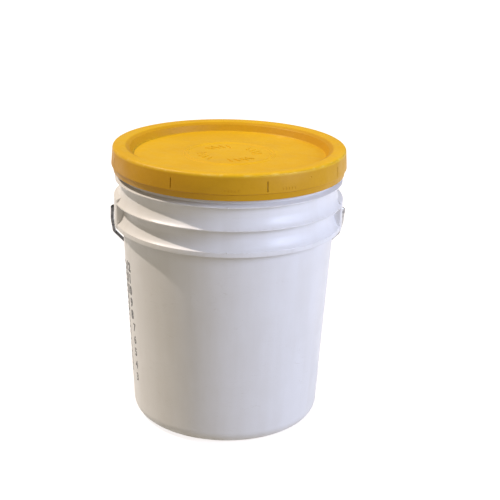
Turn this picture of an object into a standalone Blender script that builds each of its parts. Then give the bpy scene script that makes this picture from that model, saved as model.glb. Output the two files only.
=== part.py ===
"""A 19 litre plastic pail with a press-on lid, a sealing ring and a wire bail with a grip.

Metres, +Z up. The origin is the centre of the circle that the pail stands on. The bail's
two pivots lie on a line parallel to X, and the bail hangs down behind the pail, on +Y.
"""

import math

import bmesh
import bpy
from mathutils import Matrix

# Turned surfaces
SEGMENTS = 80
FILLET_STEPS = 5
BASE_STEPS = 6
LID_EDGE_STEPS = 3
SMOOTH_ANGLE = math.radians(35.0)

# Pail wall: a cone up to the top ring, and a cylinder above it
BASE_RADIUS = 0.1282
TAPER = 0.0556
TAPER_TOP = 0.320
WALL = 0.0023
RIM_TOP = 0.3745
RIM_RADIUS = 0.1492
RIM_HEIGHT = 0.0080
RIM_ROUND = 0.0007

# Pail base
CORNER_RADIUS = 0.0186
FOOT_INNER_RADIUS = 0.0980
FOOT_HEIGHT = 0.0020
FLOOR = 0.0026

# Guard flange, just under the lid's skirt
GUARD_RADIUS = 0.1530
GUARD_TOP = 0.3388
GUARD_EDGE = 0.0014
GUARD_SLOPE = 0.0030
GUARD_UNDERSIDE = 0.0007

# Stiffening rings: where the fillet leaves the wall, the lip's radius, top and height
FIN = 0.0021
UNDERSIDE_DEGREES = (78.0, 52.0)
TOP_RING = (0.3240, 0.1544, 0.3094, 0.0018)
LOWER_RING = (0.2960, 0.1535, 0.2800, 0.0064)

# Bail ears: hollow pads between the two rings, open underneath
EAR_HALF_ANGLE = math.radians(15.4)
EAR_RADIUS = 0.1546
EAR_TOP_OUTER = 0.3135
EAR_TOP_INNER = 0.3200
EAR_BOTTOM = 0.2731
EAR_ROOT_RADIUS = 0.1436
EAR_PLATE = 0.0026
POCKET_ROOT_RADIUS = 0.1460
POCKET_TOP = 0.3050
POCKET_BELOW = 0.2679
EAR_STEPS = 8

# Lid
LID_TOP = 0.3820
LID_WALL = 0.0023
SKIRT_RADIUS = 0.1575
SKIRT_TOP_RADIUS = 0.1557
SKIRT_STEP = 0.3566
SKIRT_STEP_DEPTH = 0.0016
SKIRT_BOTTOM = 0.3477
SKIRT_BOTTOM_RADIUS = 0.1546
SKIRT_BOTTOM_EDGE = 0.0020
LID_EDGE_ROUND = 0.0036
CROWN_INNER_RADIUS = 0.1400
CROWN_DROP = 0.0006
PANEL_RADIUS = 0.1290
PANEL_TOP = 0.3690
SHOULDER_RADIUS = 0.1350
SHOULDER_DROP = 0.0038
RIB_RADIUS = 0.1420
RIB_DEPTH = 0.0090
RIB_EDGE = 0.0017
SLIT_COUNT = 8
SLIT_WIDTH = 0.0011
SLIT_DEPTH = 0.0092
SLIT_TOP = 0.3720
SLIT_BOTTOM = 0.3590
SLIT_FIRST_ANGLE = math.radians(-118.8)

# Sealing ring in the lid's channel
SEAL_INNER_RADIUS = 0.1434
SEAL_OUTER_RADIUS = 0.1498
SEAL_BOTTOM = 0.3748
SEAL_TOP = 0.3787

# Bail: distances from the pail's axis and from the pivot line, in the bail's own plane
WIRE_RADIUS = 0.0023
WIRE_SIDES = 12
PIVOT_HEIGHT = 0.2936
BORE_RADIUS = 0.0030
BORE_LENGTH = 0.0104
BORE_SIDES = 20
BAIL_TILT = math.radians(40.0)
HEAD_RADIUS = 0.0046
HEAD_START = 0.1486
HEAD_END = 0.1508
LEG_START = 0.1577
LEG_WIDE = 0.1604
LEG_WIDE_REACH = 0.0440
LEG_REACH = 0.0880
END_BEND_RADIUS = 0.0038
SHOULDER_ANGLE = math.radians(18.0)
SHOULDER_BEND_RADIUS = 0.0200
SHOULDER_LENGTH = 0.0380
BAIL_REACH = 0.1929
BEND_STEPS = 5
SHOULDER_STEPS = 3
ARCH_STEPS = 10

# Grip on the bail's straight middle
GRIP_RADIUS = 0.00975
GRIP_NECK_RADIUS = 0.0088
GRIP_BORE_RADIUS = 0.0027
GRIP_HALF_LENGTH = 0.0480
GRIP_COLLAR = 0.0050
GRIP_ROUND = 0.0012
GRIP_SEGMENTS = 24

# Colours, linear, and surface roughness
PAIL_WHITE = (0.80, 0.80, 0.82, 1.0)
LID_YELLOW = (0.79, 0.46, 0.015, 1.0)
SEAL_GREY = (0.45, 0.45, 0.44, 1.0)
ZINC = (0.55, 0.55, 0.56, 1.0)
PAIL_ROUGHNESS = 0.42
LID_ROUGHNESS = 0.45
SEAL_ROUGHNESS = 0.85
ZINC_ROUGHNESS = 0.32
GRIP_ROUGHNESS = 0.45


def clear_scene():
    for item in list(bpy.data.objects):
        bpy.data.objects.remove(item, do_unlink=True)


def material(name, colour, roughness, metallic=0.0):
    made = bpy.data.materials.new(name)
    made.use_nodes = True
    shader = made.node_tree.nodes["Principled BSDF"]
    shader.inputs["Base Color"].default_value = colour
    shader.inputs["Roughness"].default_value = roughness
    shader.inputs["Metallic"].default_value = metallic
    made.diffuse_color = colour
    return made


def add_object(name, bm, surface=None):
    """Put a bmesh into the scene as a closed object whose faces point outwards."""
    bmesh.ops.recalc_face_normals(bm, faces=bm.faces)
    mesh = bpy.data.meshes.new(name)
    bm.to_mesh(mesh)
    bm.free()
    mesh.shade_smooth()
    mesh.set_sharp_from_angle(angle=SMOOTH_ANGLE)
    made = bpy.data.objects.new(name, mesh)
    bpy.context.collection.objects.link(made)
    if surface is not None:
        mesh.materials.append(surface)
    return made


def make_cutter(made):
    made.hide_render = True
    made.display_type = 'WIRE'
    return made


def add_boolean(target, tool, operation):
    modifier = target.modifiers.new(tool.name, 'BOOLEAN')
    modifier.operation = operation
    modifier.solver = 'EXACT'
    modifier.object = make_cutter(tool)


def turn(outline, segments=SEGMENTS):
    """Turn an outline of (radius, height) points about Z. One that ends on the axis closes there."""
    bm = bmesh.new()
    rings = []
    for radius, height in outline:
        if radius == 0.0:
            rings.append([bm.verts.new((0.0, 0.0, height))])
            continue
        angles = [2.0 * math.pi * step / segments for step in range(segments)]
        rings.append([bm.verts.new((radius * math.cos(a), radius * math.sin(a), height)) for a in angles])
    pairs = list(zip(rings, rings[1:]))
    if len(rings[0]) > 1:
        pairs.append((rings[-1], rings[0]))
    for lower, upper in pairs:
        for step in range(segments):
            following = (step + 1) % segments
            corners = [lower[step % len(lower)], lower[following % len(lower)],
                       upper[following % len(upper)], upper[step % len(upper)]]
            bm.faces.new(list(dict.fromkeys(corners)))
    return bm


def sector(outline, half_angle, middle_angle, steps):
    """Turn a closed outline through a part of a circle and cap both ends."""
    bm = bmesh.new()
    rings = []
    for step in range(steps + 1):
        angle = middle_angle - half_angle + 2.0 * half_angle * step / steps
        rings.append([bm.verts.new((r * math.cos(angle), r * math.sin(angle), z)) for r, z in outline])
    for first, second in zip(rings, rings[1:]):
        for place in range(len(outline)):
            after = (place + 1) % len(outline)
            bm.faces.new((first[place], first[after], second[after], second[place]))
    bm.faces.new(rings[0])
    bm.faces.new(rings[-1])
    return bm


def arc(centre, radius, start_degrees, end_degrees, steps=FILLET_STEPS):
    points = []
    for step in range(steps + 1):
        angle = math.radians(start_degrees + (end_degrees - start_degrees) * step / steps)
        points.append((centre[0] + radius * math.cos(angle), centre[1] + radius * math.sin(angle)))
    return points


def wall_radius(height):
    return BASE_RADIUS + TAPER * min(height, TAPER_TOP)


def ring_outline(root_height, lip_radius, lip_top, lip_height):
    """One stiffening ring: a hollow curve out to the lip, and a fin's underside back to the wall."""
    root = wall_radius(root_height)
    reach = lip_radius - root
    fall = root_height - lip_top
    points = []
    for step in range(FILLET_STEPS + 1):
        turned = math.radians(90.0) * step / FILLET_STEPS
        points.append((root + reach * (1.0 - math.cos(turned)), root_height - fall * math.sin(turned)))
    points.append((lip_radius, lip_top - lip_height))
    points.append((lip_radius - FIN, lip_top - lip_height))
    for degrees in UNDERSIDE_DEGREES:
        turned = math.radians(degrees)
        normal = (fall * math.cos(turned), reach * math.sin(turned))
        scale = FIN / math.hypot(normal[0], normal[1])
        radius = root + reach * (1.0 - math.cos(turned)) - scale * normal[0]
        height = root_height - fall * math.sin(turned) - scale * normal[1]
        points.append((radius, height))
    foot_height = points[-1][1] - FIN
    points.append((wall_radius(foot_height), foot_height))
    return points


def pail_outline():
    """The pail's whole section, from the floor's centre up the inside and down the outside."""
    floor_top = FOOT_HEIGHT + FLOOR
    inner_corner = CORNER_RADIUS - WALL
    inner_centre = (wall_radius(CORNER_RADIUS) - CORNER_RADIUS, floor_top + inner_corner)
    outer_centre = (wall_radius(CORNER_RADIUS) - CORNER_RADIUS, CORNER_RADIUS)
    upper = wall_radius(TAPER_TOP)
    outline = [(0.0, floor_top)]
    outline += arc(inner_centre, inner_corner, -90.0, 0.0)
    outline.append((upper - WALL, TAPER_TOP))
    outline.append((upper - WALL, RIM_TOP - RIM_ROUND))
    outline.append((upper - WALL + RIM_ROUND, RIM_TOP))
    outline.append((RIM_RADIUS - RIM_ROUND, RIM_TOP))
    outline.append((RIM_RADIUS, RIM_TOP - RIM_ROUND))
    outline.append((RIM_RADIUS, RIM_TOP - RIM_HEIGHT))
    outline.append((upper, RIM_TOP - RIM_HEIGHT - (RIM_RADIUS - upper)))
    outline.append((upper, GUARD_TOP + GUARD_SLOPE))
    outline.append((GUARD_RADIUS, GUARD_TOP))
    outline.append((GUARD_RADIUS, GUARD_TOP - GUARD_EDGE))
    outline.append((upper, GUARD_TOP - GUARD_EDGE - GUARD_UNDERSIDE))
    outline += ring_outline(*TOP_RING)
    outline += ring_outline(*LOWER_RING)
    outline += arc(outer_centre, CORNER_RADIUS, 0.0, -90.0, BASE_STEPS)
    outline.append((FOOT_INNER_RADIUS + FOOT_HEIGHT, 0.0))
    outline.append((FOOT_INNER_RADIUS, FOOT_HEIGHT))
    outline.append((0.0, FOOT_HEIGHT))
    return outline


def ear_pad(name, middle_angle):
    outline = [(EAR_ROOT_RADIUS, EAR_BOTTOM), (EAR_RADIUS, EAR_BOTTOM),
               (EAR_RADIUS, EAR_TOP_OUTER), (EAR_ROOT_RADIUS, EAR_TOP_INNER)]
    return add_object(name, sector(outline, EAR_HALF_ANGLE, middle_angle, EAR_STEPS))


def ear_pocket(name, middle_angle):
    """The hollow behind an ear's outer plate, open at the bottom for the bail's end."""
    outer = EAR_RADIUS - EAR_PLATE
    outline = [(POCKET_ROOT_RADIUS, POCKET_BELOW), (outer, POCKET_BELOW),
               (outer, POCKET_TOP), (POCKET_ROOT_RADIUS, POCKET_TOP)]
    inside_angle = EAR_HALF_ANGLE - EAR_PLATE / EAR_RADIUS
    return add_object(name, sector(outline, inside_angle, middle_angle, EAR_STEPS))


def pivot_bore(name, side):
    """A hole through an ear's plate, along X, that starts and ends clear of the plate."""
    bm = bmesh.new()
    middle = side * (EAR_RADIUS - 0.5 * EAR_PLATE)
    place = Matrix.Translation((middle, 0.0, PIVOT_HEIGHT)) @ Matrix.Rotation(math.radians(90.0), 4, 'Y')
    bmesh.ops.create_cone(bm, cap_ends=True, segments=BORE_SIDES, radius1=BORE_RADIUS, radius2=BORE_RADIUS,
                          depth=BORE_LENGTH, matrix=place)
    return add_object(name, bm)


def build_pail(surface):
    pail = add_object("bucket_body", turn(pail_outline()), surface)
    for side, label, angle in ((-1.0, "left", math.pi), (1.0, "right", 0.0)):
        add_boolean(pail, ear_pad("ear_pad_" + label, angle), 'UNION')
        add_boolean(pail, ear_pocket("ear_pocket_" + label, angle), 'DIFFERENCE')
        add_boolean(pail, pivot_bore("pivot_bore_" + label, side), 'DIFFERENCE')
    return pail


def lid_outline():
    """The lid's whole section, from the panel's centre out over the crown and back underneath."""
    crown_height = LID_TOP - CROWN_DROP
    step_radius = SKIRT_RADIUS - SKIRT_STEP_DEPTH
    outline = [(0.0, PANEL_TOP), (PANEL_RADIUS, PANEL_TOP)]
    outline.append((SHOULDER_RADIUS, LID_TOP - SHOULDER_DROP))
    outline.append((CROWN_INNER_RADIUS, crown_height))
    outline.append((SKIRT_TOP_RADIUS - LID_EDGE_ROUND - CROWN_DROP, LID_TOP))
    edge_centre = (SKIRT_TOP_RADIUS - LID_EDGE_ROUND, LID_TOP - LID_EDGE_ROUND)
    outline += arc(edge_centre, LID_EDGE_ROUND, 90.0, 0.0, LID_EDGE_STEPS)
    outline.append((SKIRT_RADIUS, SKIRT_STEP))
    outline.append((step_radius, SKIRT_STEP - 0.5 * SKIRT_STEP_DEPTH))
    outline.append((SKIRT_BOTTOM_RADIUS, SKIRT_BOTTOM))
    outline.append((SKIRT_BOTTOM_RADIUS - SKIRT_BOTTOM_EDGE, SKIRT_BOTTOM))
    outline.append((step_radius - LID_WALL, SKIRT_STEP))
    outline.append((SKIRT_RADIUS - LID_WALL, SKIRT_STEP + LID_WALL))
    outline.append((SKIRT_TOP_RADIUS - LID_WALL, LID_TOP - LID_WALL - CROWN_DROP))
    outline.append((RIB_RADIUS, LID_TOP - LID_WALL - CROWN_DROP))
    outline.append((RIB_RADIUS, LID_TOP - LID_WALL - RIB_DEPTH))
    outline.append((RIB_RADIUS - RIB_EDGE, LID_TOP - LID_WALL - RIB_DEPTH))
    outline.append((RIB_RADIUS - LID_WALL, LID_TOP - LID_WALL - 2.0 * CROWN_DROP))
    outline.append((SHOULDER_RADIUS + LID_WALL, LID_TOP - SHOULDER_DROP - CROWN_DROP))
    outline.append((PANEL_RADIUS + LID_WALL, PANEL_TOP - LID_WALL))
    outline.append((0.0, PANEL_TOP - LID_WALL))
    return outline


def slit_cutter():
    """One bar for each tear slit in the upper band of the skirt, joined in a single cutter."""
    bm = bmesh.new()
    size = Matrix.Diagonal((SLIT_DEPTH, SLIT_WIDTH, SLIT_TOP - SLIT_BOTTOM, 1.0))
    middle = Matrix.Translation((SKIRT_RADIUS, 0.0, 0.5 * (SLIT_TOP + SLIT_BOTTOM)))
    for count in range(SLIT_COUNT):
        angle = SLIT_FIRST_ANGLE + 2.0 * math.pi * count / SLIT_COUNT
        bmesh.ops.create_cube(bm, size=1.0, matrix=Matrix.Rotation(angle, 4, 'Z') @ middle @ size)
    return add_object("slit_cutter", bm)


def build_lid(surface):
    lid = add_object("lid", turn(lid_outline()), surface)
    add_boolean(lid, slit_cutter(), 'DIFFERENCE')
    return lid


def build_seal(surface):
    outline = [(SEAL_INNER_RADIUS, SEAL_BOTTOM), (SEAL_OUTER_RADIUS, SEAL_BOTTOM),
               (SEAL_OUTER_RADIUS, SEAL_TOP), (SEAL_INNER_RADIUS, SEAL_TOP)]
    return add_object("lid_gasket", turn(outline), surface)


def bail_half_path():
    """The wire's centre line from its head to the bail's middle, as (from axis, from pivot line)."""
    bend_centre = (LEG_START - END_BEND_RADIUS, END_BEND_RADIUS)
    path = [(HEAD_END, 0.0)]
    path += arc(bend_centre, END_BEND_RADIUS, -90.0, 0.0, BEND_STEPS)
    path.append((LEG_WIDE, LEG_WIDE_REACH))
    shoulder_start = LEG_REACH - 0.5 * SHOULDER_ANGLE * SHOULDER_BEND_RADIUS
    shoulder_centre = (LEG_WIDE - SHOULDER_BEND_RADIUS, shoulder_start)
    path += arc(shoulder_centre, SHOULDER_BEND_RADIUS, 0.0, math.degrees(SHOULDER_ANGLE), SHOULDER_STEPS)
    across = path[-1][0] - SHOULDER_LENGTH * math.sin(SHOULDER_ANGLE)
    along = path[-1][1] + SHOULDER_LENGTH * math.cos(SHOULDER_ANGLE)
    arch_radius = (BAIL_REACH - along) / (1.0 - math.sin(SHOULDER_ANGLE))
    arch_centre = (across - arch_radius * math.cos(SHOULDER_ANGLE), BAIL_REACH - arch_radius)
    path += arc(arch_centre, arch_radius, math.degrees(SHOULDER_ANGLE), 90.0, ARCH_STEPS)
    return path


def swept_tube(stations, sides):
    """A round tube along a path in the XY plane. A station is (x, y, radius)."""
    bm = bmesh.new()
    rings = []
    for place, (x, y, radius) in enumerate(stations):
        before = stations[max(place - 1, 0)]
        after = stations[min(place + 1, len(stations) - 1)]
        heading = math.atan2(after[1] - before[1], after[0] - before[0])
        across = (-math.sin(heading), math.cos(heading))
        ring = []
        for side in range(sides):
            turned = 2.0 * math.pi * side / sides
            out = radius * math.cos(turned)
            up = radius * math.sin(turned)
            ring.append(bm.verts.new((x + out * across[0], y + out * across[1], up)))
        rings.append(ring)
    for first, second in zip(rings, rings[1:]):
        for side in range(sides):
            after = (side + 1) % sides
            bm.faces.new((first[side], first[after], second[after], second[side]))
    bm.faces.new(rings[0])
    bm.faces.new(rings[-1])
    return bm


def build_bail(surface, pivot):
    """The bail lies in its pivot's XY plane, with its middle on +Y. Its ends are upset into heads."""
    half = [(HEAD_START, 0.0, HEAD_RADIUS), (HEAD_END, 0.0, HEAD_RADIUS)]
    half += [(across, along, WIRE_RADIUS) for across, along in bail_half_path()]
    left = [(-across, along, radius) for across, along, radius in half]
    right = list(reversed(half))
    bail = add_object("bail_wire", swept_tube(left + right, WIRE_SIDES), surface)
    bail.parent = pivot
    return bail


def grip_outline():
    """The grip's section along its own axis: a bored tube with a collar at each end."""
    half = GRIP_HALF_LENGTH
    collar = half - GRIP_COLLAR
    right_side = [(GRIP_BORE_RADIUS, half), (GRIP_RADIUS - GRIP_ROUND, half),
                  (GRIP_RADIUS, half - GRIP_ROUND), (GRIP_RADIUS, collar),
                  (GRIP_NECK_RADIUS, collar - GRIP_ROUND)]
    left_side = [(radius, -along) for radius, along in reversed(right_side)]
    return right_side + left_side


def build_grip(surface, pivot):
    """The grip turns on the bail's middle, so its axis is the bail's X."""
    bm = turn(grip_outline(), GRIP_SEGMENTS)
    along_x = Matrix.Rotation(math.radians(90.0), 3, 'Y')
    bmesh.ops.rotate(bm, verts=bm.verts, cent=(0.0, 0.0, 0.0), matrix=along_x)
    grip = add_object("bail_grip", bm, surface)
    grip.parent = pivot
    grip.location = (0.0, BAIL_REACH, 0.0)
    return grip


def main():
    clear_scene()
    white = material("pail_plastic", PAIL_WHITE, PAIL_ROUGHNESS)
    yellow = material("lid_plastic", LID_YELLOW, LID_ROUGHNESS)
    foam = material("seal_rubber", SEAL_GREY, SEAL_ROUGHNESS)
    zinc = material("zinc_wire", ZINC, ZINC_ROUGHNESS, metallic=1.0)
    grip_white = material("grip_plastic", PAIL_WHITE, GRIP_ROUGHNESS)
    build_pail(white)
    build_lid(yellow)
    build_seal(foam)
    pivot = bpy.data.objects.new("bail_pivot", None)
    bpy.context.collection.objects.link(pivot)
    pivot.location = (0.0, 0.0, PIVOT_HEIGHT)
    pivot.rotation_euler = (-BAIL_TILT, 0.0, 0.0)
    build_bail(zinc, pivot)
    build_grip(grip_white, pivot)


main()
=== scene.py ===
import math

import bmesh
import bpy
from mathutils import Matrix, Vector


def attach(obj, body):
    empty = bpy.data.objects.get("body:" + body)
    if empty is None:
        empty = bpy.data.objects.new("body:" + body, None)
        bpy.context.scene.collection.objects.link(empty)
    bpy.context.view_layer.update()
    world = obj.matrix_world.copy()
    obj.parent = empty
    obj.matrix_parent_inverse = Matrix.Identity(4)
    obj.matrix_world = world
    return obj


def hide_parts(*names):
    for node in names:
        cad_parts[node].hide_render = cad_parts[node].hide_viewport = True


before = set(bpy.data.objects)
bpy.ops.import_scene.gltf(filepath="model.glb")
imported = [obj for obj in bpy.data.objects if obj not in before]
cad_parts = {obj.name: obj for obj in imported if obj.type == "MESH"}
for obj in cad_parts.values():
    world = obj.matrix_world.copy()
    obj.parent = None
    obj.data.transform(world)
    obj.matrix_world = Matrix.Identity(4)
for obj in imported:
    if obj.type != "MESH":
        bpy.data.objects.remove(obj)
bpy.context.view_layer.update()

# Turned surfaces
SEGMENTS = 256
ROUND_STEPS = 4
SMOOTH_ANGLE = math.radians(32.0)

# Pail wall: a cone up to the top ring, and a cylinder above it
BASE_RADIUS = 0.1282
TAPER = 0.0556
TAPER_TOP = 0.3200
WALL = 0.0023
UPPER_RADIUS = BASE_RADIUS + TAPER * TAPER_TOP
RIM_TOP = 0.3745
RIM_RADIUS = 0.1492
RIM_HEIGHT = 0.0080
RIM_INNER_ROUND = 0.0011
RIM_OUTER_ROUND = 0.0014
RIM_UNDER_ROUND = 0.0008

# Pail base
CORNER_RADIUS = 0.0186
FOOT_INNER_RADIUS = 0.0980
FOOT_HEIGHT = 0.0020
FLOOR_THICKNESS = 0.0026
BASE_LINE_DEGREES = 38.0
BASE_LINE_DEPTH = 0.0005
BASE_LINE_NOTCH = (1.2, 2.8)
BASE_LINE_SPAN = 5.0
FLOOR_BEAD_RADII = (0.060, 0.030)
FLOOR_BEAD_HALF_WIDTH = 0.0015
FLOOR_BEAD_HEIGHT = 0.0006

# Guard flange under the lid, and the two stiffening rings below it
GUARD_RADIUS = 0.1530
GUARD_TOP = 0.3388
GUARD_EDGE = 0.0014
GUARD_SLOPE = 0.0030
GUARD_ROUND = 0.0005
GUARD_ROOT_ROUND = 0.0010
FIN = 0.0021
TOP_RING = (0.3240, 0.1544, 0.3094, 0.0018)
LOWER_RING = (0.2960, 0.1535, 0.2800, 0.0064)
HOLLOW_STEPS = 10
RING_STRAIGHT = 0.45
LIP_ROUND = 0.0007
UNDERSIDE_DEGREES = (78.0, 65.0, 52.0)
FIN_ROOT_ROUND = 0.0012

# Bail ears: hollow pads between the two rings
EAR_HALF_ANGLE = math.radians(15.4)
EAR_RADIUS = 0.1546
EAR_TOP_OUTER = 0.3135
EAR_TOP_INNER = 0.3200
EAR_BOTTOM = 0.2731
EAR_ROOT_RADIUS = 0.1436
EAR_PLATE = 0.0026
EAR_EDGE = 0.0011
EAR_STEPS = 36
POCKET_ROOT_RADIUS = 0.1460
POCKET_TOP = 0.3050
BOSS_RADIUS = 0.0056
BOSS_HEIGHT = 0.0003
ROD_SIDES = 48

# Parting marks at the front of the guard flange and of the lower ring
MARK_ANGLE = math.radians(-91.8)
MARK_SIZE = (0.0016, 0.0022, 0.0030)

# Lid
LID_TOP = 0.3820
LID_WALL = 0.0023
SKIRT_RADIUS = 0.1575
SKIRT_TOP_RADIUS = 0.1557
SKIRT_STEP = 0.3566
SKIRT_STEP_DEPTH = 0.0016
SKIRT_BOTTOM = 0.3477
SKIRT_BOTTOM_RADIUS = 0.1546
CROWN_INNER_RADIUS = 0.1400
PANEL_RADIUS = 0.1290
PANEL_TOP = 0.3690
CROWN_DROP = 0.0006
LID_FINE_ROUND = 0.0006
SHOULDER_RADIUS = 0.1335
SHOULDER_DROP = 0.0038
RIB_RADIUS = 0.1420
RIB_DEPTH = 0.0090
SLIT_COUNT = 8
SLIT_FIRST_ANGLE = math.radians(-118.8)
SLIT_WIDTH = 0.0011
SLIT_TOP = 0.3720
SLIT_BOTTOM = 0.3590
DIMPLE_ANGLE = math.radians(-50.8)
DIMPLE_HEIGHT = 0.3708
DIMPLE_RADIUS = 0.0016
BEAD_RADII = (0.0560, 0.0610)
BEAD_HALF_WIDTH = 0.0013
BEAD_HEIGHT = 0.0008
BEAD_ROUND = 0.0008
BAR_RING = (0.0300, 0.0440)
BAR_COUNT = 24
BAR_PERIOD = 6
BARS_IN_GROUP = 4
BAR_WIDTH = 0.0020
BAR_HEIGHT = 0.0008
BAR_LEAN = math.radians(24.0)
BAR_EDGE = 0.0003
SKIRT_MARK_ANGLES = (-93.0, -66.0)
SKIRT_MARK_COUNT = 5
SKIRT_MARK_PITCH = 0.0042
SKIRT_MARK_SIZE = (0.0009, 0.0012, 0.0036)
SKIRT_MARK_HEIGHT = 0.3610
SKIRT_MARK_EDGE = 0.0002

# Sealing ring
SEAL_INNER_RADIUS = 0.1434
SEAL_OUTER_RADIUS = 0.1498
SEAL_BOTTOM = 0.3748
SEAL_TOP = 0.3787
SEAL_BOTTOM_ROUND = 0.0010
SEAL_TOP_ROUND = 0.0006

# Bail and grip, measured in the bail's own plane
PIVOT_HEIGHT = 0.2936
BORE_RADIUS = 0.0030
BAIL_TILT = math.radians(40.0)
WIRE_RADIUS = 0.0023
WIRE_SIDES = 24
HEAD_RADIUS = 0.0046
HEAD_START = 0.1486
HEAD_END = 0.1508
HEAD_ROUND = 0.0006
HEAD_NECK = 0.0004
LEG_START = 0.1577
LEG_WIDE = 0.1604
LEG_WIDE_REACH = 0.0440
LEG_REACH = 0.0880
END_BEND_RADIUS = 0.0038
SHOULDER_ANGLE = math.radians(18.0)
SHOULDER_BEND_RADIUS = 0.0200
SHOULDER_LENGTH = 0.0380
BAIL_REACH = 0.1929
GRIP_RADIUS = 0.00975
GRIP_NECK_RADIUS = 0.0090
GRIP_BORE_RADIUS = 0.0027
GRIP_HALF_LENGTH = 0.0480
GRIP_COLLAR = 0.0050
GRIP_SIDES = 96
GRIP_FLUTES = 16
FLUTE_DEPTH = 0.0005

# Printed scale on the pail's left side
PRINT_RIGHT_ANGLE = math.radians(-156.5)
THIN_HEIGHT = 0.0115
BOLD_HEIGHT = 0.0120
BOLD_OFFSET = 0.0009
THIN_OFFSET = 0.0003
BOLD_TURN = math.radians(-2.2)
PRINT_THICKNESS = 0.00012
PRINT_LITRES = (3, 12)
BOLD_FROM = 8
TICK_GAP = 0.0262
LONG_TICK = 0.0150
SHORT_TICK = 0.0090
THIN_LINE = 0.0012
BOLD_LINE = 0.0030
CUT_PITCH = 0.0015
FONT_SIZE_PER_HEIGHT = 1.4

# Colours, linear
HDPE_WHITE = (0.80, 0.80, 0.81)
HDPE_SHADE = (0.74, 0.73, 0.72)
GRIME = (0.42, 0.36, 0.28)
LID_YELLOW = (0.77, 0.46, 0.010)
LID_DEEP = (0.69, 0.385, 0.006)
LID_CHALK = (0.84, 0.60, 0.13)
# Painted shade: darker lid yellows for the skirt, its lower band and the recess wall
LID_SHADED = (0.64, 0.335, 0.003)
LID_SHADED_DEEP = (0.56, 0.280, 0.002)
SEAL_GREY = (0.45, 0.45, 0.44)
SEAL_DARK = (0.33, 0.33, 0.32)
ZINC = (0.42, 0.42, 0.43)
ZINC_DULL = (0.24, 0.24, 0.25)
# Painted shade: nearly black for the wire's left leg
ZINC_SHADED = (0.022, 0.022, 0.024)
INK = (0.012, 0.012, 0.013)
INK_WORN = (0.16, 0.155, 0.15)
FLOOR_PALE = (0.40, 0.40, 0.40)
FLOOR_SHADE = (0.39, 0.39, 0.39)
FLOOR_GLOW = 0.80
FLOOR_GLOW_COLOUR = (1.0, 0.97, 0.97, 1.0)
BACKDROP_GLOW = 0.96


def rounded(corners, steps=ROUND_STEPS):
    """Points of an outline whose corners are (radius, height, rounding)."""
    points = []
    for place, (radius, height, rounding) in enumerate(corners):
        here = Vector((radius, height))
        if rounding == 0.0:
            points.append(tuple(here))
            continue
        before = Vector(corners[place - 1][:2]) - here
        after = Vector(corners[(place + 1) % len(corners)][:2]) - here
        half = 0.5 * before.angle(after)
        reach = min(rounding / math.tan(half), 0.49 * before.length, 0.49 * after.length)
        size = reach * math.tan(half)
        middle = here + (before.normalized() + after.normalized()).normalized() * (size / math.sin(half))
        start = here + before.normalized() * reach - middle
        end = here + after.normalized() * reach - middle
        for step in range(steps + 1):
            share = step / steps
            points.append(tuple(middle + (start * (1.0 - share) + end * share).normalized() * size))
    return points


def arc(centre, radius, start_degrees, end_degrees, steps):
    points = []
    for step in range(steps + 1):
        angle = math.radians(start_degrees + (end_degrees - start_degrees) * step / steps)
        points.append((centre[0] + radius * math.cos(angle), centre[1] + radius * math.sin(angle)))
    return points


def turn(outline, segments=SEGMENTS):
    """Turn an outline of (radius, height) points about Z. One that ends on the axis closes there."""
    bm = bmesh.new()
    rings = []
    for radius, height in outline:
        if radius == 0.0:
            rings.append([bm.verts.new((0.0, 0.0, height))])
            continue
        angles = [2.0 * math.pi * step / segments for step in range(segments)]
        rings.append([bm.verts.new((radius * math.cos(a), radius * math.sin(a), height)) for a in angles])
    pairs = list(zip(rings, rings[1:]))
    if len(rings[0]) > 1:
        pairs.append((rings[-1], rings[0]))
    for lower, upper in pairs:
        for step in range(segments):
            after = (step + 1) % segments
            corners = [lower[step % len(lower)], lower[after % len(lower)],
                       upper[after % len(upper)], upper[step % len(upper)]]
            bm.faces.new(list(dict.fromkeys(corners)))
    return bm


def sector(outline, half_angle, middle_angle, steps, end_round=0.0):
    """Turn a closed outline through part of a circle. end_round draws the last steps' outer radius in."""
    bm = bmesh.new()
    rings = []
    outer = max(radius for radius, height in outline)
    for step in range(steps + 1):
        angle = middle_angle - half_angle + 2.0 * half_angle * step / steps
        from_end = outer * min(step, steps - step) * 2.0 * half_angle / steps
        short = max(0.0, 1.0 - from_end / end_round) if end_round else 0.0
        limit = outer - end_round * (1.0 - math.sqrt(1.0 - short * short)) if end_round else outer
        ring = [(min(radius, limit), height) for radius, height in outline]
        rings.append([bm.verts.new((r * math.cos(angle), r * math.sin(angle), z)) for r, z in ring])
    for first, second in zip(rings, rings[1:]):
        for place in range(len(outline)):
            after = (place + 1) % len(outline)
            bm.faces.new((first[place], first[after], second[after], second[place]))
    bm.faces.new(rings[0])
    bm.faces.new(rings[-1])
    return bm


def add_object(name, bm):
    bmesh.ops.recalc_face_normals(bm, faces=bm.faces)
    mesh = bpy.data.meshes.new(name)
    bm.to_mesh(mesh)
    bm.free()
    made = bpy.data.objects.new(name, mesh)
    bpy.context.collection.objects.link(made)
    return made


def smooth(piece):
    piece.data.shade_smooth()
    piece.data.set_sharp_from_angle(angle=SMOOTH_ANGLE)
    return piece


def carve(target, tool, operation):
    """Join or cut target with tool at once, and remove the tool."""
    modifier = target.modifiers.new("carve", 'BOOLEAN')
    modifier.operation = operation
    modifier.solver = 'MANIFOLD'
    modifier.object = tool
    graph = bpy.context.evaluated_depsgraph_get()
    result = bpy.data.meshes.new_from_object(target.evaluated_get(graph))
    target.modifiers.clear()
    target.data = result
    bpy.data.objects.remove(tool, do_unlink=True)


def wall_radius(height):
    return BASE_RADIUS + TAPER * min(height, TAPER_TOP)


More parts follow.
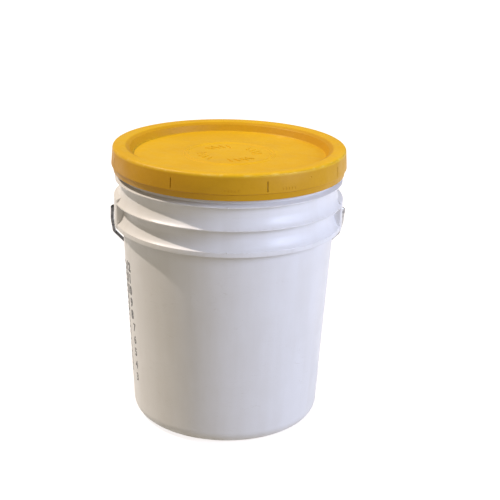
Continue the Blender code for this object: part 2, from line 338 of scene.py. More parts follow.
def ring_corners(root_height, lip_radius, lip_top, lip_height):
    """A stiffening ring: a partly hollow slope out to a rounded lip, and a fin's underside back."""
    root = wall_radius(root_height)
    reach = lip_radius - root
    fall = root_height - lip_top
    edge = min(LIP_ROUND, 0.4 * lip_height)
    corners = []
    for step in range(HOLLOW_STEPS + 1):
        turned = math.radians(90.0) * step / HOLLOW_STEPS
        rounding = edge if step == HOLLOW_STEPS else 0.0
        straight = step / HOLLOW_STEPS
        across = (1.0 - RING_STRAIGHT) * (1.0 - math.cos(turned)) + RING_STRAIGHT * straight
        down = (1.0 - RING_STRAIGHT) * math.sin(turned) + RING_STRAIGHT * straight
        corners.append((root + reach * across, root_height - fall * down, rounding))
    corners.append((lip_radius, lip_top - lip_height, edge))
    corners.append((lip_radius - FIN, lip_top - lip_height, edge))
    for degrees in UNDERSIDE_DEGREES:
        turned = math.radians(degrees)
        normal = (fall * math.cos(turned), reach * math.sin(turned))
        scale = FIN / math.hypot(normal[0], normal[1])
        radius = root + reach * (1.0 - math.cos(turned)) - scale * normal[0]
        corners.append((radius, root_height - fall * math.sin(turned) - scale * normal[1], 0.0))
    foot_height = corners[-1][1] - FIN
    corners.append((wall_radius(foot_height), foot_height, FIN_ROOT_ROUND))
    return corners


def base_corners():
    """The rounded corner under the wall with a fine step line round it, the foot and two floor beads."""
    centre = (wall_radius(CORNER_RADIUS) - CORNER_RADIUS, CORNER_RADIUS)
    line = -BASE_LINE_DEGREES
    start, end = BASE_LINE_NOTCH
    above = arc(centre, CORNER_RADIUS, 0.0, line, 8)
    notch = arc(centre, CORNER_RADIUS - BASE_LINE_DEPTH, line - start, line - end, 2)
    below = arc(centre, CORNER_RADIUS, line - BASE_LINE_SPAN, -90.0, 10)
    points = above + notch + below
    foot = [(FOOT_INNER_RADIUS + FOOT_HEIGHT, 0.0), (FOOT_INNER_RADIUS, FOOT_HEIGHT)]
    for radius in FLOOR_BEAD_RADII:
        foot.append((radius + FLOOR_BEAD_HALF_WIDTH, FOOT_HEIGHT))
        foot.append((radius, FOOT_HEIGHT - FLOOR_BEAD_HEIGHT))
        foot.append((radius - FLOOR_BEAD_HALF_WIDTH, FOOT_HEIGHT))
    return [(radius, height, 0.0) for radius, height in points + foot + [(0.0, FOOT_HEIGHT)]]


def pail_outline():
    floor_top = FOOT_HEIGHT + FLOOR_THICKNESS
    inner_corner = CORNER_RADIUS - WALL
    inner_centre = (wall_radius(CORNER_RADIUS) - CORNER_RADIUS, floor_top + inner_corner)
    inside = arc(inner_centre, inner_corner, -90.0, 0.0, 10)
    corners = [(0.0, floor_top, 0.0)]
    corners += [(radius, height, 0.0) for radius, height in inside]
    corners += [
        (UPPER_RADIUS - WALL, TAPER_TOP, 0.0),
        (UPPER_RADIUS - WALL, RIM_TOP, RIM_INNER_ROUND),
        (RIM_RADIUS, RIM_TOP, RIM_OUTER_ROUND),
        (RIM_RADIUS, RIM_TOP - RIM_HEIGHT, RIM_UNDER_ROUND),
        (UPPER_RADIUS, RIM_TOP - RIM_HEIGHT - (RIM_RADIUS - UPPER_RADIUS), RIM_UNDER_ROUND),
        (UPPER_RADIUS, GUARD_TOP + GUARD_SLOPE, GUARD_ROOT_ROUND),
        (GUARD_RADIUS, GUARD_TOP, GUARD_ROUND),
        (GUARD_RADIUS, GUARD_TOP - GUARD_EDGE, GUARD_ROUND),
        (UPPER_RADIUS, GUARD_TOP - 1.5 * GUARD_EDGE, GUARD_ROOT_ROUND),
    ]
    corners += ring_corners(*TOP_RING)
    corners += ring_corners(*LOWER_RING)
    corners += base_corners()
    return rounded(corners)


def ear_pad(angle):
    outline = rounded([
        (EAR_ROOT_RADIUS, EAR_BOTTOM, 0.0),
        (EAR_RADIUS, EAR_BOTTOM, EAR_EDGE),
        (EAR_RADIUS, EAR_TOP_OUTER, EAR_EDGE),
        (EAR_ROOT_RADIUS, EAR_TOP_INNER, 0.0),
    ])
    return add_object("ear_pad", sector(outline, EAR_HALF_ANGLE, angle, EAR_STEPS, EAR_EDGE))


def ear_pocket(angle):
    outer = EAR_RADIUS - EAR_PLATE
    below = EAR_BOTTOM - 2.0 * EAR_PLATE
    outline = [(POCKET_ROOT_RADIUS, below), (outer, below),
               (outer, POCKET_TOP), (POCKET_ROOT_RADIUS, POCKET_TOP)]
    inside_angle = EAR_HALF_ANGLE - EAR_PLATE / EAR_RADIUS
    return add_object("ear_pocket", sector(outline, inside_angle, angle, EAR_STEPS))


def rod(radius, start, end, side):
    """A round bar along X at the pivots, from start to end as distances from the pail's axis."""
    bm = bmesh.new()
    place = Matrix.Translation((side * 0.5 * (start + end), 0.0, PIVOT_HEIGHT))
    turned = Matrix.Rotation(math.radians(90.0), 4, 'Y')
    bmesh.ops.create_cone(bm, cap_ends=True, segments=ROD_SIDES, radius1=radius, radius2=radius,
                          depth=abs(end - start), matrix=place @ turned)
    return add_object("rod", bm)


def parting_mark(radius, height):
    bm = bmesh.new()
    bmesh.ops.create_icosphere(bm, subdivisions=3, radius=0.5)
    size = Matrix.Diagonal((*MARK_SIZE, 1.0))
    middle = Matrix.Translation((radius - 0.3 * MARK_SIZE[0], 0.0, height))
    bmesh.ops.transform(bm, matrix=Matrix.Rotation(MARK_ANGLE, 4, 'Z') @ middle @ size, verts=bm.verts)
    return add_object("parting_mark", bm)


def build_pail():
    pail = add_object("pail_shell", turn(pail_outline()))
    inner_face = EAR_RADIUS - EAR_PLATE
    for side, angle in ((-1.0, math.pi), (1.0, 0.0)):
        carve(pail, ear_pad(angle), 'UNION')
        carve(pail, rod(BOSS_RADIUS, inner_face, EAR_RADIUS + BOSS_HEIGHT, side), 'UNION')
        carve(pail, ear_pocket(angle), 'DIFFERENCE')
        carve(pail, rod(BORE_RADIUS, inner_face - EAR_PLATE, EAR_RADIUS + EAR_PLATE, side), 'DIFFERENCE')
    carve(pail, parting_mark(GUARD_RADIUS, GUARD_TOP - 0.5 * GUARD_EDGE), 'UNION')
    carve(pail, parting_mark(LOWER_RING[1], LOWER_RING[2]), 'UNION')
    return smooth(pail)


def panel_beads():
    """Low round beads on the lid's panel, as outline corners from the centre outwards."""
    corners = []
    for radius in BEAD_RADII:
        corners.append((radius - BEAD_HALF_WIDTH, PANEL_TOP, BEAD_ROUND))
        corners.append((radius, PANEL_TOP + BEAD_HEIGHT, BEAD_ROUND))
        corners.append((radius + BEAD_HALF_WIDTH, PANEL_TOP, BEAD_ROUND))
    return corners


def lid_outline():
    step_radius = SKIRT_RADIUS - SKIRT_STEP_DEPTH
    ceiling = LID_TOP - LID_WALL - CROWN_DROP
    rib_bottom = LID_TOP - LID_WALL - RIB_DEPTH
    corners = [(0.0, PANEL_TOP, 0.0)] + panel_beads()
    corners += [
        (PANEL_RADIUS, PANEL_TOP, 0.0014),
        (SHOULDER_RADIUS, LID_TOP - SHOULDER_DROP, 0.0012),
        (CROWN_INNER_RADIUS, LID_TOP - CROWN_DROP, 0.0040),
        (0.5 * (CROWN_INNER_RADIUS + SKIRT_TOP_RADIUS), LID_TOP, 0.0080),
        (SKIRT_TOP_RADIUS, LID_TOP - 0.5 * CROWN_DROP, 0.0038),
        (SKIRT_RADIUS, SKIRT_STEP, LID_FINE_ROUND),
        (step_radius, SKIRT_STEP - 0.5 * SKIRT_STEP_DEPTH, 0.0005),
        (SKIRT_BOTTOM_RADIUS, SKIRT_BOTTOM, LID_FINE_ROUND),
        (SKIRT_BOTTOM_RADIUS - 0.85 * LID_WALL, SKIRT_BOTTOM, LID_FINE_ROUND),
        (step_radius - LID_WALL, SKIRT_STEP, 0.0),
        (SKIRT_RADIUS - LID_WALL, SKIRT_STEP + LID_WALL, 0.0),
        (SKIRT_TOP_RADIUS - LID_WALL, ceiling, 0.0010),
        (RIB_RADIUS, ceiling, LID_FINE_ROUND),
        (RIB_RADIUS, rib_bottom, 0.0005),
        (RIB_RADIUS - 0.75 * LID_WALL, rib_bottom, 0.0005),
        (RIB_RADIUS - LID_WALL, ceiling - CROWN_DROP, LID_FINE_ROUND),
        (SHOULDER_RADIUS + LID_WALL, LID_TOP - SHOULDER_DROP - CROWN_DROP, 0.0),
        (PANEL_RADIUS + LID_WALL, PANEL_TOP - LID_WALL, 0.0010),
        (0.0, PANEL_TOP - LID_WALL, 0.0),
    ]
    return rounded(corners)


def panel_bars():
    """Short leaning bars in groups round the panel's middle."""
    bm = bmesh.new()
    inner, outer = BAR_RING
    size = Matrix.Diagonal((outer - inner, BAR_WIDTH, 2.0 * BAR_HEIGHT, 1.0))
    lean = Matrix.Rotation(BAR_LEAN, 4, 'Z')
    out = Matrix.Translation((0.5 * (inner + outer), 0.0, PANEL_TOP))
    for count in range(BAR_COUNT):
        if count % BAR_PERIOD >= BARS_IN_GROUP:
            continue
        turned = Matrix.Rotation(2.0 * math.pi * count / BAR_COUNT, 4, 'Z')
        bmesh.ops.create_cube(bm, size=1.0, matrix=turned @ out @ lean @ size)
    bmesh.ops.bevel(bm, geom=bm.edges[:], offset=BAR_EDGE, segments=2, affect='EDGES')
    return add_object("panel_bars", bm)


def skirt_marks():
    """Two groups of small upright bars on the skirt's upper band."""
    bm = bmesh.new()
    size = Matrix.Diagonal((*SKIRT_MARK_SIZE, 1.0))
    out = Matrix.Translation((SKIRT_RADIUS - 0.5 * SKIRT_MARK_SIZE[0], 0.0, SKIRT_MARK_HEIGHT))
    for degrees in SKIRT_MARK_ANGLES:
        for count in range(SKIRT_MARK_COUNT):
            angle = math.radians(degrees) + count * SKIRT_MARK_PITCH / SKIRT_RADIUS
            bmesh.ops.create_cube(bm, size=1.0, matrix=Matrix.Rotation(angle, 4, 'Z') @ out @ size)
    bmesh.ops.bevel(bm, geom=bm.edges[:], offset=SKIRT_MARK_EDGE, segments=2, affect='EDGES')
    return add_object("skirt_marks", bm)


def slit_bars():
    bm = bmesh.new()
    size = Matrix.Diagonal((4.0 * LID_WALL, SLIT_WIDTH, SLIT_TOP - SLIT_BOTTOM, 1.0))
    middle = Matrix.Translation((SKIRT_RADIUS, 0.0, 0.5 * (SLIT_TOP + SLIT_BOTTOM)))
    for count in range(SLIT_COUNT):
        angle = SLIT_FIRST_ANGLE + 2.0 * math.pi * count / SLIT_COUNT
        bmesh.ops.create_cube(bm, size=1.0, matrix=Matrix.Rotation(angle, 4, 'Z') @ middle @ size)
    return add_object("slit_bars", bm)


def dimple():
    bm = bmesh.new()
    place = Matrix.Rotation(DIMPLE_ANGLE, 4, 'Z') @ Matrix.Translation((SKIRT_RADIUS, 0.0, DIMPLE_HEIGHT))
    bmesh.ops.create_icosphere(bm, subdivisions=3, radius=DIMPLE_RADIUS, matrix=place)
    return add_object("dimple", bm)


def build_lid():
    lid = add_object("lid_shell", turn(lid_outline()))
    carve(lid, panel_bars(), 'UNION')
    carve(lid, skirt_marks(), 'UNION')
    carve(lid, slit_bars(), 'DIFFERENCE')
    carve(lid, dimple(), 'DIFFERENCE')
    return smooth(lid)


def build_seal():
    outline = rounded([
        (SEAL_INNER_RADIUS, SEAL_BOTTOM, SEAL_BOTTOM_ROUND),
        (SEAL_OUTER_RADIUS, SEAL_BOTTOM, SEAL_BOTTOM_ROUND),
        (SEAL_OUTER_RADIUS, SEAL_TOP, SEAL_TOP_ROUND),
        (SEAL_INNER_RADIUS, SEAL_TOP, SEAL_TOP_ROUND),
    ])
    return smooth(add_object("seal_ring", turn(outline)))


def bail_half_path():
    """The wire's centre line from its head to the bail's middle, as (from axis, from pivot line)."""
    path = [(HEAD_END + HEAD_NECK, 0.0)]
    path += arc((LEG_START - END_BEND_RADIUS, END_BEND_RADIUS), END_BEND_RADIUS, -90.0, 0.0, 12)
    path.append((LEG_WIDE, LEG_WIDE_REACH))
    start = LEG_REACH - 0.5 * SHOULDER_ANGLE * SHOULDER_BEND_RADIUS
    turn_degrees = math.degrees(SHOULDER_ANGLE)
    path += arc((LEG_WIDE - SHOULDER_BEND_RADIUS, start), SHOULDER_BEND_RADIUS, 0.0, turn_degrees, 8)
    across = path[-1][0] - SHOULDER_LENGTH * math.sin(SHOULDER_ANGLE)
    along = path[-1][1] + SHOULDER_LENGTH * math.cos(SHOULDER_ANGLE)
    arch_radius = (BAIL_REACH - along) / (1.0 - math.sin(SHOULDER_ANGLE))
    arch_centre = (across - arch_radius * math.cos(SHOULDER_ANGLE), BAIL_REACH - arch_radius)
    path += arc(arch_centre, arch_radius, turn_degrees, 90.0, 28)
    return path


def head_stations():
    """The upset head at the wire's end, with rounded edges."""
    narrow = HEAD_RADIUS - HEAD_ROUND
    return [(HEAD_START, 0.0, narrow), (HEAD_START + HEAD_ROUND, 0.0, HEAD_RADIUS),
            (HEAD_END - HEAD_ROUND, 0.0, HEAD_RADIUS), (HEAD_END, 0.0, narrow)]


def swept_tube(stations, sides):
    """A round tube along a path in the XY plane. A station is (x, y, radius)."""
    bm = bmesh.new()
    rings = []
    for place, (x, y, radius) in enumerate(stations):
        before = stations[max(place - 1, 0)]
        after = stations[min(place + 1, len(stations) - 1)]
        heading = math.atan2(after[1] - before[1], after[0] - before[0])
        ring = []
        for side in range(sides):
            turned = 2.0 * math.pi * side / sides
            out = radius * math.cos(turned)
            ring.append(bm.verts.new((x - out * math.sin(heading), y + out * math.cos(heading),
                                      radius * math.sin(turned))))
        rings.append(ring)
    for first, second in zip(rings, rings[1:]):
        for side in range(sides):
            after = (side + 1) % sides
            bm.faces.new((first[side], first[after], second[after], second[side]))
    bm.faces.new(rings[0])
    bm.faces.new(rings[-1])
    return bm


def in_bail_plane(bm):
    """Turn what is built in the XY plane, with the bail's middle on +Y, into the bail's rest place."""
    place = Matrix.Translation((0.0, 0.0, PIVOT_HEIGHT)) @ Matrix.Rotation(-BAIL_TILT, 4, 'X')
    bmesh.ops.transform(bm, matrix=place, verts=bm.verts)
    return bm


def build_wire():
    half = head_stations() + [(across, along, WIRE_RADIUS) for across, along in bail_half_path()]
    left = [(-across, along, radius) for across, along, radius in half]
    tube = swept_tube(left + list(reversed(half)), WIRE_SIDES)
    return smooth(add_object("bail_rod", in_bail_plane(tube)))


def grip_stations():
    """The grip along its axis as (along, radius, share of the flute depth), from end to end."""
    half = GRIP_HALF_LENGTH
    collar = half - GRIP_COLLAR
    right = [(collar - 0.0060, GRIP_NECK_RADIUS, 1.0), (collar - 0.0030, GRIP_NECK_RADIUS, 0.4),
             (collar - 0.0012, GRIP_NECK_RADIUS, 0.0), (collar, GRIP_RADIUS - 0.0001, 0.0),
             (collar + 0.0006, GRIP_RADIUS, 0.0), (half - 0.0012, GRIP_RADIUS, 0.0),
             (half - 0.0004, GRIP_RADIUS - 0.0004, 0.0), (half, GRIP_RADIUS - 0.0012, 0.0)]
    return [(-along, radius, share) for along, radius, share in reversed(right)] + right


def grip_ring(bm, along, radius, share):
    ring = []
    for side in range(GRIP_SIDES):
        turned = 2.0 * math.pi * side / GRIP_SIDES
        flute = FLUTE_DEPTH * share * (0.5 + 0.5 * math.cos(GRIP_FLUTES * turned)) ** 2
        out = radius - flute
        ring.append(bm.verts.new((along, BAIL_REACH + out * math.cos(turned), out * math.sin(turned))))
    return ring


def build_grip():
    """A moulded sleeve with shallow lengthwise flutes between its two collars."""
    bm = bmesh.new()
    stations = grip_stations()
    bore = [(stations[-1][0], GRIP_BORE_RADIUS, 0.0), (stations[0][0], GRIP_BORE_RADIUS, 0.0)]
    rings = [grip_ring(bm, *station) for station in stations + bore]
    for first, second in zip(rings, rings[1:] + rings[:1]):
        for side in range(GRIP_SIDES):
            after = (side + 1) % GRIP_SIDES
            bm.faces.new((first[side], first[after], second[after], second[side]))
    return smooth(add_object("grip_sleeve", in_bail_plane(bm)))


def litre_height(litres):
    """How high that many litres stand in the pail's cone, above the ground."""
    floor_top = FOOT_HEIGHT + FLOOR_THICKNESS
    inner = wall_radius(floor_top) - WALL
    volume = litres * 0.001
    cube = inner ** 3 + 3.0 * TAPER * volume / math.pi
    return floor_top + (cube ** (1.0 / 3.0) - inner) / TAPER


def bar(bm, right, bottom, width, height):
    """A flat rectangle of the print, in the unrolled plane, where x runs to the left of its right edge."""
    left = right - width
    top = bottom + height
    corners = [(left, bottom), (right, bottom), (right, top), (left, top)]
    bm.faces.new([bm.verts.new((x, y, 0.0)) for x, y in corners])


def add_numeral(bm, litres):
    """The litre number beside its tick, right-aligned at the print's right edge."""
    curve = bpy.data.curves.new("numeral", 'FONT')
    curve.body = str(litres)
    bold = litres >= BOLD_FROM
    tall = BOLD_HEIGHT if bold else THIN_HEIGHT
    curve.size = tall * FONT_SIZE_PER_HEIGHT
    curve.align_x = 'RIGHT'
    curve.offset = BOLD_OFFSET if bold else THIN_OFFSET
    holder = bpy.data.objects.new("numeral", curve)
    bpy.context.collection.objects.link(holder)
    graph = bpy.context.evaluated_depsgraph_get()
    glyph = bpy.data.meshes.new_from_object(holder.evaluated_get(graph))
    shift = wall_radius(litre_height(litres)) * BOLD_TURN if bold else 0.0
    glyph.transform(Matrix.Translation((shift, litre_height(litres) - 0.5 * tall, 0.0)))
    bm.from_mesh(glyph)
    bpy.data.objects.remove(holder, do_unlink=True)
    bpy.data.meshes.remove(glyph)


def draw_scale(bm):
    first, last = PRINT_LITRES
    for half in range(2 * first, 2 * last + 1):
        litres = half / 2.0
        line = BOLD_LINE if litres >= BOLD_FROM else THIN_LINE
        whole = half % 2 == 0
        width = LONG_TICK if whole else SHORT_TICK
        bar(bm, -TICK_GAP, litre_height(litres) - 0.5 * line, width, line)
        if whole:
            add_numeral(bm, half // 2)
    bottom = litre_height(first)
    middle = litre_height(BOLD_FROM)
    bar(bm, -TICK_GAP + THIN_LINE, bottom, THIN_LINE, middle - bottom)
    bar(bm, -TICK_GAP + BOLD_LINE, middle, BOLD_LINE, litre_height(last) - middle)


def wrap_on_wall(bm):
    """Cut the flat print into narrow strips, and lay it round the pail's wall."""
    lowest = min(v.co.x for v in bm.verts)
    for count in range(1, math.ceil(-lowest / CUT_PITCH)):
        geometry = bm.verts[:] + bm.edges[:] + bm.faces[:]
        bmesh.ops.bisect_plane(bm, geom=geometry, plane_co=(-count * CUT_PITCH, 0.0, 0.0),
                               plane_no=(1.0, 0.0, 0.0))
    flat = bm.verts[:]
    raised = bmesh.ops.extrude_face_region(bm, geom=bm.faces[:])
    outer = [item for item in raised["geom"] if isinstance(item, bmesh.types.BMVert)]
    for group, proud in ((flat, -PRINT_THICKNESS), (outer, PRINT_THICKNESS)):
        for vert in group:
            x, z = vert.co.x, vert.co.y
            radius = wall_radius(z) + proud
            angle = PRINT_RIGHT_ANGLE + x / wall_radius(z)
            vert.co = (radius * math.cos(angle), radius * math.sin(angle), z)


def build_scale():
    bm = bmesh.new()
    draw_scale(bm)
    wrap_on_wall(bm)
    return add_object("litre_scale", bm)


class Paint:
    """A material's node tree, with short calls for the patterns that the plastics share."""

    def __init__(self, name):
        self.material = bpy.data.materials.new(name)
        self.material.use_nodes = True
        self.tree = self.material.node_tree
        self.shader = self.tree.nodes["Principled BSDF"]
        self.place = self.tree.nodes.new("ShaderNodeTexCoord").outputs["Object"]

    def node(self, kind, inputs, **settings):
        made = self.tree.nodes.new(kind)
        for name, value in settings.items():
            setattr(made, name, value)
        for key, value in inputs.items():
            if isinstance(value, bpy.types.NodeSocket):
                self.tree.links.new(value, made.inputs[key])
            else:
                made.inputs[key].default_value = value
        return made

    def maths(self, operation, first, second=0.0, clamp=False):
        made = self.node("ShaderNodeMath", {0: first, 1: second}, operation=operation, use_clamp=clamp)
        return made.outputs[0]

    def stretched(self, scale, turned=0.0):
        inputs = {"Vector": self.place, "Scale": scale, "Rotation": (0.0, 0.0, turned)}
        return self.node("ShaderNodeMapping", inputs).outputs[0]

    def noise(self, scale, detail=2.0, stretch=None, turned=0.0, distortion=0.0):
        vector = self.stretched(stretch, turned) if stretch else self.place
        inputs = {"Vector": vector, "Scale": scale, "Detail": detail, "Distortion": distortion}
        return self.node("ShaderNodeTexNoise", inputs).outputs["Fac"]

    def remap(self, value, low, high, to_low=0.0, to_high=1.0):
        """value from low..high spread smoothly over to_low..to_high."""
        inputs = {"Value": value, "From Min": low, "From Max": high, "To Min": to_low, "To Max": to_high}
        return self.node("ShaderNodeMapRange", inputs, interpolation_type='SMOOTHSTEP').outputs[0]

    def mixed(self, share, first, second):
        first = (*first, 1.0) if isinstance(first, tuple) else first
        second = (*second, 1.0) if isinstance(second, tuple) else second
        made = self.node("ShaderNodeMix", {0: share, 6: first, 7: second}, data_type='RGBA')
        return made.outputs[2]

    def parts(self):
        """The distance from the axis, and the height."""
        split = self.node("ShaderNodeSeparateXYZ", {0: self.place})
        flat = self.node("ShaderNodeVectorMath", {0: self.place, 1: (1.0, 1.0, 0.0)}, operation='MULTIPLY')
        length = self.node("ShaderNodeVectorMath", {0: flat.outputs[0]}, operation='LENGTH')
        return length.outputs["Value"], split.outputs[2]

    def hairlines(self, scale, stretch, turned, width):
        """Thin wandering scratches: where a stretched noise passes its middle value."""
        field = self.noise(scale, 3.0, stretch, turned, 0.6)
        distance = self.maths('ABSOLUTE', self.maths('SUBTRACT', field, 0.5))
        line = self.remap(distance, 0.0, width, 1.0, 0.0)
        patch = self.remap(self.noise(scale * 0.6, 2.0), 0.56, 0.66)
        return self.maths('MULTIPLY', line, patch)

    def bump(self, height, strength, distance, under=None):
        inputs = {"Height": height, "Strength": strength, "Distance": distance}
        if under is not None:
            inputs["Normal"] = under
        return self.node("ShaderNodeBump", inputs).outputs[0]

    def finish(self, colour, roughness, normal=None):
        self.tree.links.new(colour, self.shader.inputs["Base Color"])
        self.tree.links.new(roughness, self.shader.inputs["Roughness"])
        if normal is not None:
            self.tree.links.new(normal, self.shader.inputs["Normal"])
        return self.material


def moulded_bump(paint, scratches):
    """Fine orange peel, slow waviness and the scratches, as one surface relief."""
    waves = paint.bump(paint.noise(38.0, 2.0), 0.30, 0.0010)
    peel = paint.bump(paint.noise(900.0, 2.0), 0.25, 0.00012, waves)
    return paint.bump(scratches, 0.25, 0.00008, peel)


def white_plastic():
    """Natural white polyethylene: faint flow streaks, rubbed lips and a little grime low down."""
    paint = Paint("hdpe_white")
    radius, height = paint.parts()
    streaks = paint.noise(9.0, 4.0, (5.0, 5.0, 0.5))
    mottle = paint.noise(22.0, 5.0)
    streaks = paint.remap(streaks, 0.35, 0.70, 0.0, 0.45)
    tone = paint.maths('ADD', streaks, paint.remap(mottle, 0.3, 0.7, 0.0, 0.35))
    colour = paint.mixed(tone, HDPE_WHITE, HDPE_SHADE)
    scratches = paint.hairlines(30.0, (1.0, 1.0, 3.0), 0.4, 0.004)
    lip = paint.remap(radius, 0.1500, 0.1532)
    rub = paint.maths('MULTIPLY', lip, paint.remap(paint.noise(160.0, 4.0), 0.50, 0.72))
    foot = paint.remap(height, 0.0, 0.016, 1.0, 0.0)
    soil = paint.maths('MULTIPLY', foot, paint.remap(paint.noise(70.0, 5.0), 0.40, 0.75))
    specks = paint.remap(paint.noise(520.0, 1.0), 0.74, 0.78)
    marks = paint.maths('MULTIPLY', scratches, 0.25)
    dirt = paint.maths('ADD', paint.maths('MULTIPLY', rub, 0.10), paint.maths('MULTIPLY', soil, 0.35))
    dirt = paint.maths('ADD', dirt, paint.maths('MULTIPLY', specks, 0.12))
    dirt = paint.maths('ADD', dirt, marks, True)
    colour = paint.mixed(dirt, colour, GRIME)
    shine = paint.remap(paint.noise(55.0, 4.0), 0.3, 0.7, 0.34, 0.46)
    shine = paint.maths('ADD', shine, paint.maths('MULTIPLY', dirt, 0.35))
    paint.shader.inputs["IOR"].default_value = 1.50
    paint.shader.inputs["Specular IOR Level"].default_value = 0.45
    return paint.finish(colour, shine, moulded_bump(paint, scratches))


def yellow_plastic():
    """Golden yellow polyethylene: cloudy tone, painted shade that deepens its sides and recess wall, with
    a chalky edge and hairlines.
    """
    paint = Paint("hdpe_yellow")
    radius, height = paint.parts()
    clouds = paint.noise(14.0, 5.0)
    grain = paint.noise(260.0, 3.0)
    clouds = paint.remap(clouds, 0.32, 0.70, 0.0, 0.55)
    tone = paint.maths('ADD', clouds, paint.remap(grain, 0.3, 0.7, 0.0, 0.25))
    colour = paint.mixed(tone, LID_YELLOW, LID_DEEP)
    # Painted shade: the skirt, the recess wall inside the crown and the skirt's lower band are mixed
    # toward darker yellows
    below_crown = paint.remap(height, 0.3765, 0.3790, 1.0, 0.0)
    skirt = paint.maths('MULTIPLY', paint.remap(radius, 0.1540, 0.1555), below_crown)
    inside_crown = paint.remap(radius, 0.1370, 0.1400, 1.0, 0.0)
    recess_shade = paint.maths('MULTIPLY', paint.remap(radius, 0.1285, 0.1300), inside_crown)
    lower_band_shade = paint.remap(height, 0.3550, 0.3560, 1.0, 0.0)
    painted_shade = paint.maths('MAXIMUM', paint.maths('MAXIMUM', skirt, recess_shade), lower_band_shade)
    colour = paint.mixed(painted_shade, colour, paint.mixed(tone, LID_SHADED, LID_SHADED_DEEP))
    scratches = paint.hairlines(26.0, (1.0, 2.6, 1.0), 0.7, 0.004)
    crossing = paint.hairlines(34.0, (2.4, 1.0, 1.0), -0.5, 0.003)
    scratches = paint.maths('MAXIMUM', scratches, crossing)
    crown = paint.remap(height, 0.3780, 0.3800)
    edge = paint.maths('MULTIPLY', paint.remap(radius, 0.1525, 0.1550), crown)
    rub = paint.maths('MULTIPLY', edge, paint.remap(paint.noise(120.0, 5.0), 0.45, 0.70))
    rubbed = paint.maths('MULTIPLY', rub, 0.55)
    chalk = paint.maths('ADD', rubbed, paint.maths('MULTIPLY', scratches, 0.35), True)
    colour = paint.mixed(chalk, colour, LID_CHALK)
    shine = paint.remap(paint.noise(60.0, 4.0), 0.3, 0.7, 0.38, 0.52)
    shine = paint.maths('ADD', shine, paint.maths('MULTIPLY', chalk, 0.25))
    paint.shader.inputs["IOR"].default_value = 1.50
    paint.shader.inputs["Specular IOR Level"].default_value = 0.28
    return paint.finish(colour, shine, moulded_bump(paint, scratches))


def seal_foam():
    """A soft grey sealing ring with a fine closed-cell skin."""
    paint = Paint("seal_foam")
    cells = paint.noise(700.0, 3.0)
    colour = paint.mixed(paint.remap(cells, 0.35, 0.70), SEAL_GREY, SEAL_DARK)
    shine = paint.remap(paint.noise(90.0, 3.0), 0.3, 0.7, 0.75, 0.92)
    return paint.finish(colour, shine, paint.bump(cells, 0.5, 0.0002))


def zinc_wire():
    """Drawn wire with a zinc coat: draw lines and dull patches, and painted shade that makes the left leg
    nearly black.
    """
    paint = Paint("zinc_wire")
    patches = paint.noise(120.0, 5.0)
    draw = paint.noise(900.0, 2.0, (0.05, 1.0, 1.0))
    dull = paint.remap(patches, 0.42, 0.66)
    split = paint.node("ShaderNodeSeparateXYZ", {0: paint.place})
    # Painted shade: the left leg is mixed toward nearly black
    left_leg_shade = paint.remap(paint.maths('ADD', split.outputs[0], paint.maths('MULTIPLY', patches, 0.03)),
                           -0.12, -0.05, 1.0, 0.0)
    zinc = paint.mixed(dull, ZINC, ZINC_DULL)
    colour = paint.mixed(paint.maths('MULTIPLY', left_leg_shade, 0.92), zinc, ZINC_SHADED)
    shine = paint.remap(dull, 0.0, 1.0, 0.24, 0.42)
    shine = paint.maths('ADD', shine, paint.maths('MULTIPLY', draw, 0.08))
    paint.shader.inputs["Metallic"].default_value = 1.0
    return paint.finish(colour, shine, paint.bump(draw, 0.2, 0.00005))


def print_ink():
    """Screen-printed black ink, thin and rubbed grey in small spots."""
    paint = Paint("scale_ink")
    worn = paint.remap(paint.noise(420.0, 4.0), 0.58, 0.70)
    colour = paint.mixed(paint.maths('MULTIPLY', worn, 0.6), INK, INK_WORN)
    shine = paint.remap(worn, 0.0, 1.0, 0.38, 0.60)
    return paint.finish(colour, shine, paint.bump(worn, 0.2, 0.00004))


def floor_surface():
    paint = Paint("pale_floor")
    colour = paint.mixed(paint.remap(paint.noise(6.0, 3.0), 0.3, 0.7, 0.0, 0.3), FLOOR_PALE, FLOOR_SHADE)
    shine = paint.remap(paint.noise(12.0, 3.0), 0.3, 0.7, 0.80, 0.90)
    paint.shader.inputs["Emission Color"].default_value = FLOOR_GLOW_COLOUR
    paint.shader.inputs["Emission Strength"].default_value = FLOOR_GLOW
    return paint.finish(colour, shine)


def place_piece(piece, surface, body, slot, *nodes):
    piece.data.materials.clear()
    piece.data.materials.append(surface)
    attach(piece, body)
    if nodes:
        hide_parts(*nodes)


def build_pieces():
    white = white_plastic()
    place_piece(build_pail(), white, "bucket", "pail_plastic", "bucket_body")
    place_piece(build_lid(), yellow_plastic(), "lid", "lid_plastic", "lid")
    place_piece(build_seal(), seal_foam(), "lid", "seal_rubber", "lid_gasket")
    place_piece(build_wire(), zinc_wire(), "bail", "zinc_wire", "bail_wire")
    place_piece(build_grip(), white, "grip", "grip_plastic", "bail_grip")
    place_piece(build_scale(), print_ink(), "bucket", "pail_plastic")


# Camera and light
CAMERA_DISTANCE = 1.5133
CAMERA_HEIGHT = 0.7504
CAMERA_TURN = math.radians(-1.5)
CAMERA_PAN = 0.0203
CAMERA_PITCH = 0.3296
CAMERA_ROLL = 0.0250
CAMERA_LENS = 83.57
SUN_AZIMUTH = math.radians(-103.5)
SUN_ELEVATION = math.radians(55.0)
SUN_SPREAD = math.radians(2.0)
SUN_STRENGTH = 2.6
SUN_COLOUR = (1.0, 0.872, 0.755)
SKY_STRENGTH = 0.374
SKY_COLOUR = (1.0, 0.89, 0.72)
FILL_PLACE = (2.02, -1.26, 1.20)
FILL_SIZE = 1.5
FILL_POWER = 59.5
FILL_COLOUR = (0.628, 0.715, 1.0)
AIM = (0.0, 0.0, 0.20)
FLOOR_SIZE = 24.0
BACKDROP_RADIUS = 14.0


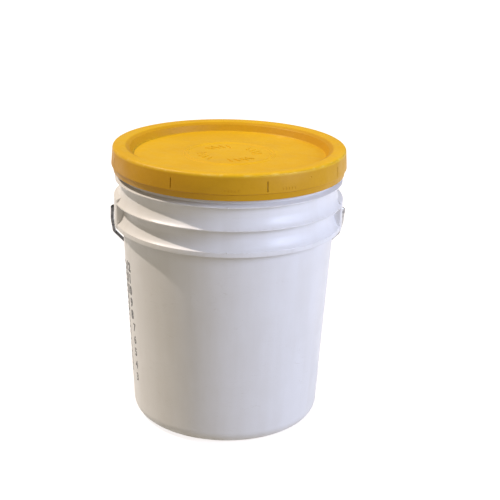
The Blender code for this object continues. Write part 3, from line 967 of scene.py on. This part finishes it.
def add_camera():
    camera = bpy.data.objects.new("camera", bpy.data.cameras.new("camera"))
    bpy.context.collection.objects.link(camera)
    ahead = Vector((math.sin(CAMERA_PAN) * math.cos(CAMERA_PITCH),
                    math.cos(CAMERA_PAN) * math.cos(CAMERA_PITCH), -math.sin(CAMERA_PITCH)))
    right = ahead.cross(Vector((0.0, 0.0, 1.0))).normalized()
    upward = right.cross(ahead)
    side = math.cos(CAMERA_ROLL) * right + math.sin(CAMERA_ROLL) * upward
    over = -math.sin(CAMERA_ROLL) * right + math.cos(CAMERA_ROLL) * upward
    facing = Matrix((side, over, -ahead)).transposed().to_4x4()
    place = Matrix.Translation((0.0, -CAMERA_DISTANCE, CAMERA_HEIGHT))
    camera.matrix_world = Matrix.Rotation(CAMERA_TURN, 4, 'Z') @ place @ facing
    camera.data.lens = CAMERA_LENS
    camera.data.sensor_width = 36.0
    bpy.context.scene.camera = camera


def add_sun():
    light = bpy.data.lights.new("sun", 'SUN')
    light.energy = SUN_STRENGTH
    light.color = SUN_COLOUR
    light.angle = SUN_SPREAD
    holder = bpy.data.objects.new("sun", light)
    bpy.context.collection.objects.link(holder)
    level = math.cos(SUN_ELEVATION)
    source = Vector((math.sin(SUN_AZIMUTH) * level, -math.cos(SUN_AZIMUTH) * level,
                     math.sin(SUN_ELEVATION)))
    holder.rotation_euler = source.to_track_quat('Z', 'Y').to_euler()


def add_fill():
    light = bpy.data.lights.new("fill", 'AREA')
    light.shape = 'DISK'
    light.size = FILL_SIZE
    light.energy = FILL_POWER
    light.color = FILL_COLOUR
    holder = bpy.data.objects.new("fill", light)
    bpy.context.collection.objects.link(holder)
    holder.location = FILL_PLACE
    holder.rotation_euler = (Vector(FILL_PLACE) - Vector(AIM)).to_track_quat('Z', 'Y').to_euler()


def add_sky():
    world = bpy.data.worlds.new("soft_sky")
    world.use_nodes = True
    shade = world.node_tree.nodes["Background"]
    shade.inputs["Color"].default_value = (*SKY_COLOUR, 1.0)
    shade.inputs["Strength"].default_value = SKY_STRENGTH
    bpy.context.scene.world = world


def add_floor():
    bm = bmesh.new()
    bmesh.ops.create_grid(bm, x_segments=8, y_segments=8, size=0.5 * FLOOR_SIZE)
    ground = add_object("floor", bm)
    ground.data.materials.append(floor_surface())
    ground.visible_diffuse = False


def backdrop_surface():
    paint = Paint("pale_backdrop")
    paint.shader.inputs["Base Color"].default_value = (0.0, 0.0, 0.0, 1.0)
    paint.shader.inputs["Emission Color"].default_value = (1.0, 1.0, 1.0, 1.0)
    paint.shader.inputs["Emission Strength"].default_value = BACKDROP_GLOW
    return paint.material


def add_backdrop():
    """A pale shell round the whole set, which neither lights nor shades the bucket."""
    bm = bmesh.new()
    bmesh.ops.create_icosphere(bm, subdivisions=4, radius=BACKDROP_RADIUS)
    shell = add_object("backdrop", bm)
    shell.data.materials.append(backdrop_surface())
    shell.visible_diffuse = False
    shell.visible_glossy = False
    shell.visible_shadow = False


bpy.context.scene.view_settings.view_transform = 'Standard'
build_pieces()
add_floor()
add_backdrop()
add_sky()
add_sun()
add_fill()
add_camera()
